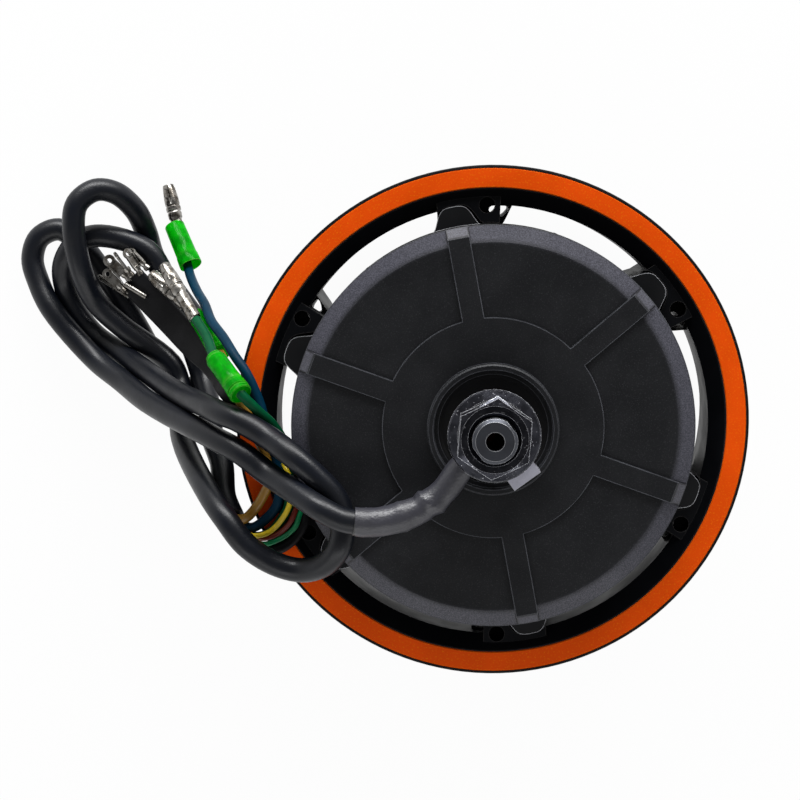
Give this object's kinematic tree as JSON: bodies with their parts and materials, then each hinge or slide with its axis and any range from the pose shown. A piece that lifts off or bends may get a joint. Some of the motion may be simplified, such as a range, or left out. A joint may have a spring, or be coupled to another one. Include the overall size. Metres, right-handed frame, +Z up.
{
  "type": "electric scooter hub motor",
  "caption": "Hub motor cast into its rim: six bridged bolt holes, ribbed cover, fixed flatted axle with nuts, and a loose cable with bare connectors.",
  "frame": {"origin": "centre of the axle's lower end, on the surface that the motor stands on", "axes": "+Z up along the axle, cable end up; the slack cable lies towards -X"},
  "size_m": [0.2503, 0.168, 0.118],
  "materials": {
    "wheel_black": "satin black paint on the casting",
    "ring_orange": "satin orange",
    "cover_black": "matt black, bevel worn a little paler",
    "screw_steel": "zinc plated",
    "flux_steel": "plain steel",
    "magnet_nickel": "nickel plated",
    "bearing_steel": "ground",
    "seal_rubber": "matt",
    "axle_steel": "turned, dark",
    "ball_steel": "polished",
    "cage_brass": "pressed",
    "carrier_aluminium": "cast",
    "core_steel": "stacked laminations",
    "winding_copper": "varnished copper",
    "board_green": "varnished board",
    "sensor_black": "moulded",
    "lead_red": "bundled leads",
    "washer_steel": "zinc plated",
    "nut_steel": "bright plated",
    "grommet_black": "matt",
    "sleeve_grey": "shrink sleeve",
    "jacket_black": "soft satin sheath",
    "wire_yellow": "plain insulation",
    "wire_blue": "plain insulation",
    "wire_green": "plain insulation",
    "terminal_tin": "tin plated",
    "sleeve_green": "clear green",
    "band_black": "flat shrink sleeve",
    "thin_wires": "yellow, brown and green insulation"
  },
  "bodies": {
    "axle_side": {"axle": "axle_steel", "bearing_top_inner": "bearing_steel", "bearing_top_balls": "ball_steel", "bearing_top_cage": "cage_brass", "bearing_bottom_inner": "bearing_steel", "bearing_bottom_balls": "ball_steel", "bearing_bottom_cage": "cage_brass", "stator_carrier": "carrier_aluminium", "stator_core": "core_steel", "windings": "winding_copper", "hall_board": "board_green", "hall_sensors": "sensor_black", "inner_leads": "lead_red", "tab_washer_top": "washer_steel", "axle_nut_top": "nut_steel", "tab_washer_bottom": "washer_steel", "axle_nut_bottom": "nut_steel", "cable_grommet": "grommet_black", "cable_sleeve": "sleeve_grey", "cable_jacket": "jacket_black", "phase_wire_yellow": "wire_yellow", "phase_wire_blue": "wire_blue", "phase_wire_green": "wire_green", "bullet_terminals": "terminal_tin", "bullet_sleeves": "sleeve_green", "signal_bundle": "band_black", "hall_sleeve": "band_black", "hall_wires": "thin_wires", "hall_terminals": "terminal_tin"},
    "wheel": {"wheel_casting": "wheel_black", "orange_ring": "ring_orange", "cover_top": "cover_black", "cover_bottom": "cover_black", "cover_screws_top": "screw_steel", "cover_screws_bottom": "screw_steel", "flux_ring": "flux_steel", "magnets": "magnet_nickel", "bearing_top_outer": "bearing_steel", "bearing_bottom_outer": "bearing_steel", "oil_seal_top": "seal_rubber", "oil_seal_bottom": "seal_rubber"}
  },
  "joints": [
    {"name": "wheel_spin", "type": "hinge", "parent": "axle_side", "child": "wheel", "pos_m": [0, 0, 0.058], "axis": [0, 0, 1], "continuous": true}
  ]
}
